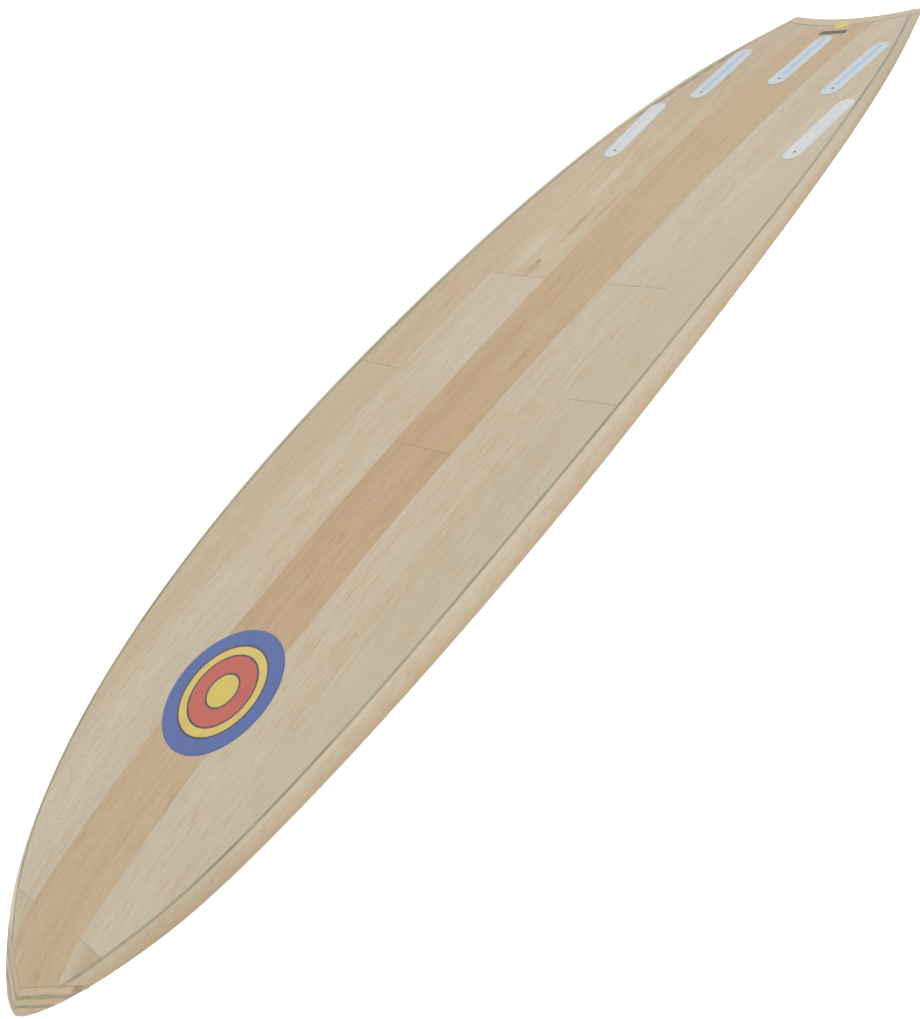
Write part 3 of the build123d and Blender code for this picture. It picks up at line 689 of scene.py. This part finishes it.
def badge(name, cx, cy, radius):
    """Plain roundel: wide rings of flat ink, a little worn."""
    g = Graph(name)
    jitter = g.wobble(g.noise((900, 900, 900), detail=2.0, rough=0.6), width=0.010)
    u = g.math("DIVIDE", g.sub(g.axis("X"), cx), radius)
    v = g.math("DIVIDE", g.sub(cy, g.axis("Y")), radius)
    r = g.add(g.hypot(u, v), jitter)
    col = lin(*BADGE_MIDDLE)
    for edge, colour in BADGE_RINGS:
        col = g.mix(g.ramp(r, edge - RING_SOFT, edge + RING_SOFT), col, lin(*colour))
    grain = g.noise((1300, 300, 900), detail=3.0, rough=0.6)
    col = g.tint(col, lin(196, 182, 152), grain, lo=0.55, hi=0.8, amount=0.22)
    cloud = g.noise((60, 40, 60), detail=3.0, rough=0.6, distort=0.5)
    col = g.tint(col, lin(52, 50, 62), cloud, lo=0.45, hi=0.75, amount=0.14)
    g.bump(grain, strength=0.05, distance=0.0002)
    return g.finish(col, **INK_COAT)


def ink(name, base, tint, seed):
    g = Graph(name)
    grain = g.noise((500, 260, 500), detail=3.0, rough=0.6, seed=seed)
    col = g.mix(g.ramp(grain, lo=0.35, hi=0.75), lin(*base), lin(*tint))
    g.bump(grain, strength=0.05, distance=0.0002)
    return g.finish(col, **INK_COAT)


BADGE = dict(cx=0.005, cy=from_nose(0.426), radius=0.090)
sticker("badge_round", disc(**BADGE), thick=0.00012, mat=badge("ink_badge", **BADGE))

x, y = 0.001, from_nose(1.842)
half_x, half_y = 0.017, 0.015
sticker("mark_diamond", outline([(x - half_x, y), (x, y - half_y), (x + half_x, y),
                                 (x, y + half_y)]), thick=0.0001,
        mat=ink("ink_yellow", base=(205, 190, 84), tint=(190, 176, 80), seed=3))

x, y = 0.000, from_nose(1.817)
half_x, half_y = 0.024, 0.0055
sticker("mark_bar", outline([(x - half_x, y - half_y), (x + half_x, y - half_y),
                             (x + half_x, y + half_y), (x - half_x, y + half_y)]), thick=0.0001,
        mat=ink("ink_dark", base=(62, 58, 56), tint=(84, 78, 72), seed=5))


# ---------------------------------------------------------------- floor
def floor_paper():
    """White paper that glows to the camera only, so it stays white without lighting the board."""
    g = Graph("floor_paper")
    cloud = g.noise((3, 3, 3))
    grain = g.noise((400, 400, 400), detail=2.0)
    col = g.mix(g.ramp(cloud, lo=0.3, hi=0.7), lin(250, 250, 250), lin(252, 252, 252))
    col = g.tint(col, lin(246, 246, 246), grain, lo=0.5, hi=0.8, amount=0.2)
    g.put(g.bsdf.inputs["Emission Color"], col)
    seen = g.node("LightPath").outputs["Is Camera Ray"]
    g.put(g.bsdf.inputs["Emission Strength"], g.mul(seen, 0.85))
    return g.finish(col, rough=0.9, spec=0.0)


bpy.ops.mesh.primitive_plane_add(size=40)
floor = bpy.context.object
floor.name = "floor"
floor.location = (0, 0, -0.0005)
floor.data.materials.append(floor_paper())

# ---------------------------------------------------------------- light
world = bpy.data.worlds.new("studio")
scene.world = world
world.use_nodes = True
background = world.node_tree.nodes["Background"]
background.inputs["Color"].default_value = (1.0, 1.0, 1.0, 1.0)
background.inputs["Strength"].default_value = 0.95


def area(name, loc, target, size, power):
    """A square area light aimed at target."""
    light = bpy.data.lights.new(name, "AREA")
    light.shape = "RECTANGLE"
    light.size = light.size_y = size
    light.energy = power
    o = bpy.data.objects.new(name, light)
    scene.collection.objects.link(o)
    o.location = loc
    o.rotation_euler = (Vector(target) - Vector(loc)).to_track_quat("-Z", "Y").to_euler()


area("key", loc=(1.2, -1.2, 3.6), target=(0, 0, 0), size=3.5, power=34)
area("side", loc=(3.4, 0.6, 1.6), target=(0, 0, 0.05), size=2.5, power=16)

# ---------------------------------------------------------------- camera
CAMERA_PLACE = Vector((1.512757, -0.847889, 1.151878))
CAMERA_RIGHT = Vector((0.6497015713, 0.6026579237, -0.4633479203))
CAMERA_UP = Vector((-0.1787896432, 0.7135579012, 0.6773989852))
CAMERA_BACK = Vector((0.7388654354, -0.3572653757, 0.5713486848))

cam = bpy.data.cameras.new("camera")
cam_o = bpy.data.objects.new("camera", cam)
scene.collection.objects.link(cam_o)
cam.sensor_width = 36.0      # mm
cam.sensor_fit = "AUTO"
cam.lens = 54.298245339      # mm
cam.clip_end = 100
pose = Matrix((CAMERA_RIGHT, CAMERA_UP, CAMERA_BACK)).transposed().to_4x4()
pose.translation = CAMERA_PLACE
cam_o.matrix_world = pose
scene.camera = cam_o
